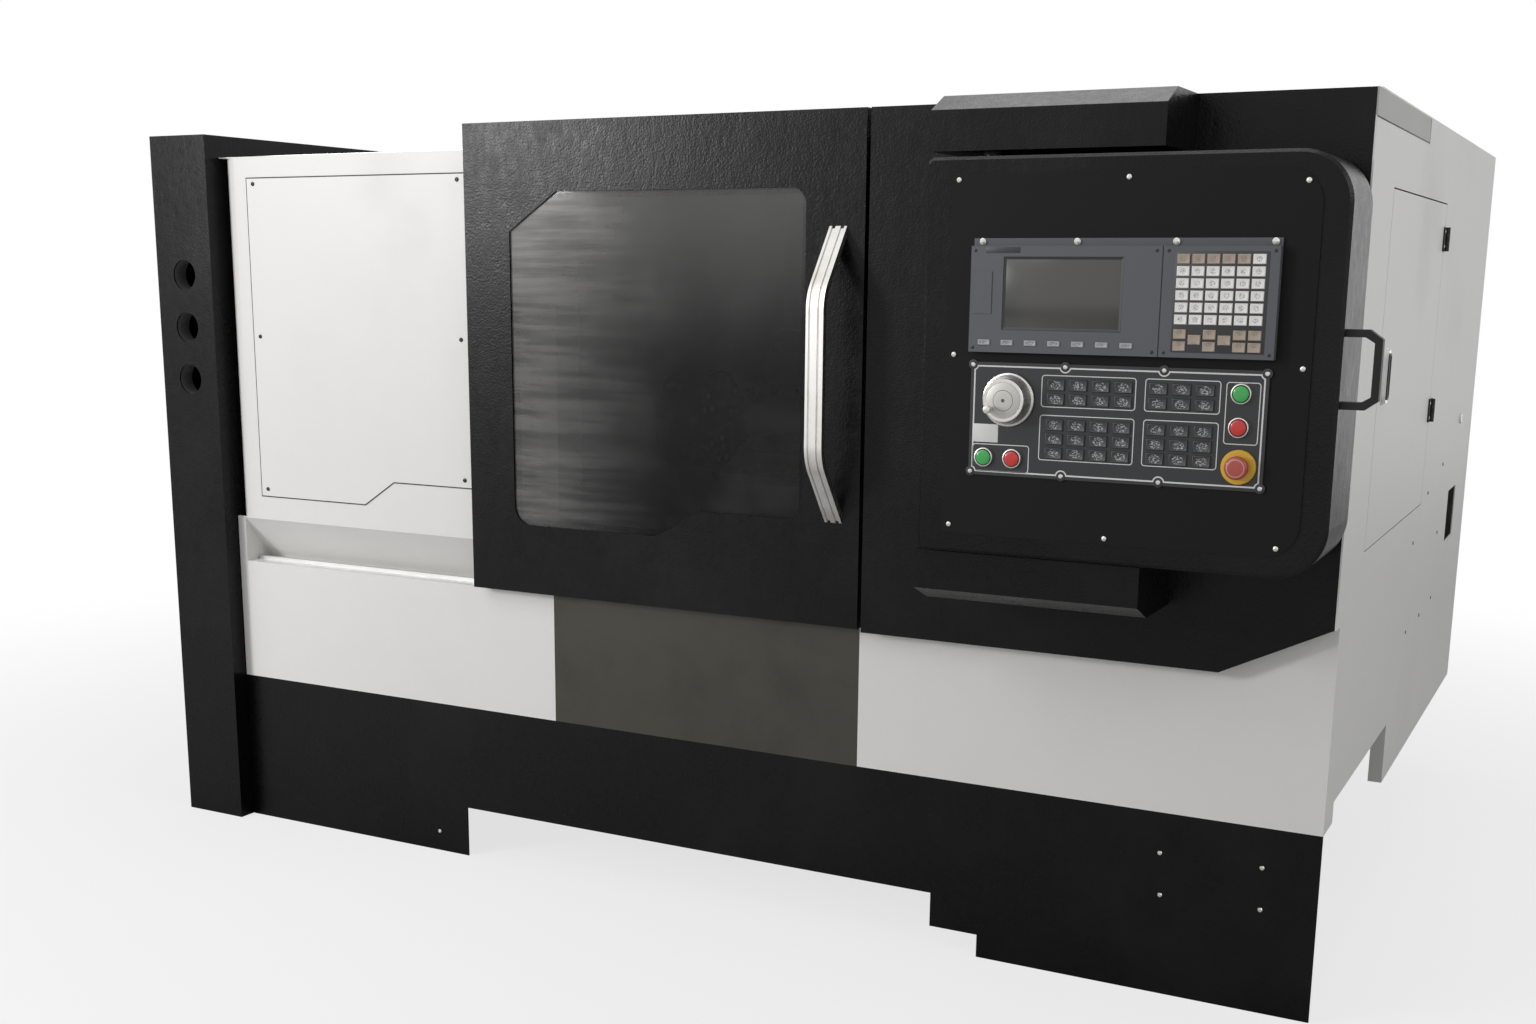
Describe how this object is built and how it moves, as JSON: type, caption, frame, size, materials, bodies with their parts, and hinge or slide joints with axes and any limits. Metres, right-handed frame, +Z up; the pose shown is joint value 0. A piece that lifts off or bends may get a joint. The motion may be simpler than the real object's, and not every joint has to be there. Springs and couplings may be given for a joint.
{
  "type": "cnc turning lathe",
  "caption": "Enclosed slant-bed turning lathe with sliding window door, swivelling control console, powered chuck, indexing tool turret and tailstock.",
  "frame": {"origin": "centre of the footprint box on the floor", "axes": "+X along the spindle from the column to the tailstock end, +Y from the operator to the rear, +Z up"},
  "size_m": [3.079, 2.458, 1.8],
  "materials": {
    "black_paint": "fine leather texture, satin",
    "white_paint": "smooth powder coat, satin",
    "grey_paint": "smooth, satin",
    "stainless": "brushed sheet",
    "cast_paint": "painted casting, slightly rough",
    "ground_steel": "ground",
    "dark_steel": "blackened, oiled",
    "glass": "laminated, smoke tinted",
    "aluminium": "drawn profile, satin",
    "black_plastic": "moulded, matt",
    "box_face": "powder coat, matt",
    "display_plastic": "moulded, fine grain",
    "panel_film": "printed film, semi-gloss",
    "dial_metal": "turned, satin",
    "green_button": "gloss",
    "red_button": "gloss",
    "motor_paint": "smooth, satin",
    "belt_rubber": "ribbed, matt",
    "zinc": "zinc plated",
    "latch_chrome": "polished"
  },
  "bodies": {
    "machine": {"left_column": "black_paint", "headstock_cover": "white_paint", "cover_plate": "white_paint", "left_apron": "white_paint", "chip_apron": "stainless", "right_apron": "white_paint", "front_skirt": "black_paint", "console_cabinet": "black_paint", "side_cover": "white_paint", "side_cap": "grey_paint", "top_cover": "white_paint", "rear_enclosure": "white_paint", "hatch_hinges": "black_plastic", "door_tracks": "ground_steel", "upper_hood": "black_paint", "lower_bracket": "black_paint", "bed_casting": "cast_paint", "levelling_feet": "zinc", "headstock": "cast_paint", "spindle_motor": "motor_paint", "drive_belt": "belt_rubber", "z_rails": "ground_steel", "z_motor": "motor_paint", "splash_guard": "stainless"},
    "door": {"sliding_door": "black_paint", "window_glass": "glass", "window_retainer": "zinc", "door_handle": "aluminium", "door_hangers": "zinc"},
    "main_spindle": {"spindle": "ground_steel", "chuck_body": "ground_steel", "spindle_pulley": "dark_steel"},
    "motor_rotor": {"motor_pulley": "dark_steel"},
    "jaw_1": {"chuck_jaw_1": "dark_steel"},
    "jaw_2": {"chuck_jaw_2": "dark_steel"},
    "jaw_3": {"chuck_jaw_3": "dark_steel"},
    "feed_screw": {"z_screw": "ground_steel"},
    "saddle": {"carriage": "cast_paint", "x_rails": "ground_steel", "x_motor": "motor_paint"},
    "turret_slide": {"cross_slide": "cast_paint", "turret_housing": "cast_paint"},
    "turret": {"turret_disc": "ground_steel", "turret_tools": "dark_steel"},
    "tail_slide": {"tailstock": "cast_paint"},
    "tail_quill": {"quill": "ground_steel"},
    "tail_centre": {"live_centre": "ground_steel"},
    "console": {"control_box": "black_paint", "front_plate": "box_face", "display_unit": "display_plastic", "operator_panel": "panel_film", "pull_handle": "black_plastic"},
    "pulse_dial": {"handwheel": "dial_metal"},
    "start_cap": {"start_button": "green_button"},
    "stop_cap": {"stop_button": "red_button"},
    "power_on_cap": {"power_on_button": "green_button"},
    "power_off_cap": {"power_off_button": "red_button"},
    "emergency_head": {"emergency_stop": "red_button"},
    "hatch": {"side_hatch": "white_paint"},
    "hatch_lever": {"hatch_latch": "latch_chrome"}
  },
  "joints": [
    {"name": "door_slide", "type": "slide", "parent": "machine", "child": "door", "axis": [-1, 0, 0], "range_m": [0, 0.785]},
    {"name": "spindle_spin", "type": "hinge", "parent": "machine", "child": "main_spindle", "pos_m": [-0.3175, -0.317, 1.09], "axis": [1, 0, 0], "continuous": true},
    {"name": "motor_spin", "type": "hinge", "parent": "machine", "child": "motor_rotor", "pos_m": [-1.2915, 0.34283, 1.45213], "axis": [1, 0, 0], "continuous": true},
    {"name": "jaw_slide_1", "type": "slide", "parent": "main_spindle", "child": "jaw_1", "axis": [0, 0, -1], "range_m": [0, 0.0044]},
    {"name": "jaw_slide_2", "type": "slide", "parent": "main_spindle", "child": "jaw_2", "axis": [0, 0.866, 0.5], "range_m": [0, 0.0044]},
    {"name": "jaw_slide_3", "type": "slide", "parent": "main_spindle", "child": "jaw_3", "axis": [0, -0.866, 0.5], "range_m": [0, 0.0044]},
    {"name": "carriage_slide", "type": "slide", "parent": "machine", "child": "saddle", "axis": [-1, 0, 0], "range_m": [0, 0.45]},
    {"name": "feed_screw_spin", "type": "hinge", "parent": "machine", "child": "feed_screw", "pos_m": [-0.2395, 0.06979, 1.14869], "axis": [1, 0, 0], "continuous": true},
    {"name": "turret_feed", "type": "slide", "parent": "saddle", "child": "turret_slide", "axis": [0, -0.7071, -0.7071], "range_m": [0, 0.2]},
    {"name": "turret_index", "type": "hinge", "parent": "turret_slide", "child": "turret", "pos_m": [0.3875, -0.03062, 1.37638], "axis": [1, 0, 0], "continuous": true},
    {"name": "tailstock_slide", "type": "slide", "parent": "machine", "child": "tail_slide", "axis": [-1, 0, 0], "range_m": [0, 0.22]},
    {"name": "quill_slide", "type": "slide", "parent": "tail_slide", "child": "tail_quill", "axis": [-1, 0, 0], "range_m": [0, 0.1]},
    {"name": "centre_spin", "type": "hinge", "parent": "tail_quill", "child": "tail_centre", "pos_m": [0.8005, -0.317, 1.09], "axis": [1, 0, 0], "continuous": true},
    {"name": "console_swivel", "type": "hinge", "parent": "machine", "child": "console", "pos_m": [0.8005, -1.057, 0.942], "axis": [0, 0, 1], "range_deg": [-90, 0]},
    {"name": "dial_spin", "type": "hinge", "parent": "console", "child": "pulse_dial", "pos_m": [0.8895, -1.173, 1.238], "axis": [0, 1, 0], "continuous": true},
    {"name": "start_push", "type": "slide", "parent": "console", "child": "start_cap", "axis": [0, 1, 0], "range_m": [0, 0.004], "stiffness_N_per_m": 400, "springref_m": -0.002},
    {"name": "stop_push", "type": "slide", "parent": "console", "child": "stop_cap", "axis": [0, 1, 0], "range_m": [0, 0.004], "stiffness_N_per_m": 400, "springref_m": -0.002},
    {"name": "power_on_push", "type": "slide", "parent": "console", "child": "power_on_cap", "axis": [0, 1, 0], "range_m": [0, 0.004], "stiffness_N_per_m": 400, "springref_m": -0.002},
    {"name": "power_off_push", "type": "slide", "parent": "console", "child": "power_off_cap", "axis": [0, 1, 0], "range_m": [0, 0.004], "stiffness_N_per_m": 400, "springref_m": -0.002},
    {"name": "emergency_push", "type": "slide", "parent": "console", "child": "emergency_head", "axis": [0, 1, 0], "range_m": [0, 0.006]},
    {"name": "hatch_hinge", "type": "hinge", "parent": "machine", "child": "hatch", "pos_m": [1.4715, 0.2075, 1.28], "axis": [0, 0, 1], "range_deg": [0, 110]},
    {"name": "latch_turn", "type": "hinge", "parent": "hatch", "child": "hatch_lever", "pos_m": [1.4655, -0.577, 1.271], "axis": [1, 0, 0], "range_deg": [0, 90]}
  ],
  "couplings": [
    {"joint": "motor_spin", "follows": "spindle_spin", "ratio": 1.625},
    {"joint": "jaw_slide_2", "follows": "jaw_slide_1", "ratio": 1},
    {"joint": "jaw_slide_3", "follows": "jaw_slide_1", "ratio": 1},
    {"joint": "feed_screw_spin", "follows": "carriage_slide", "rad_per_m": 628.32}
  ]
}
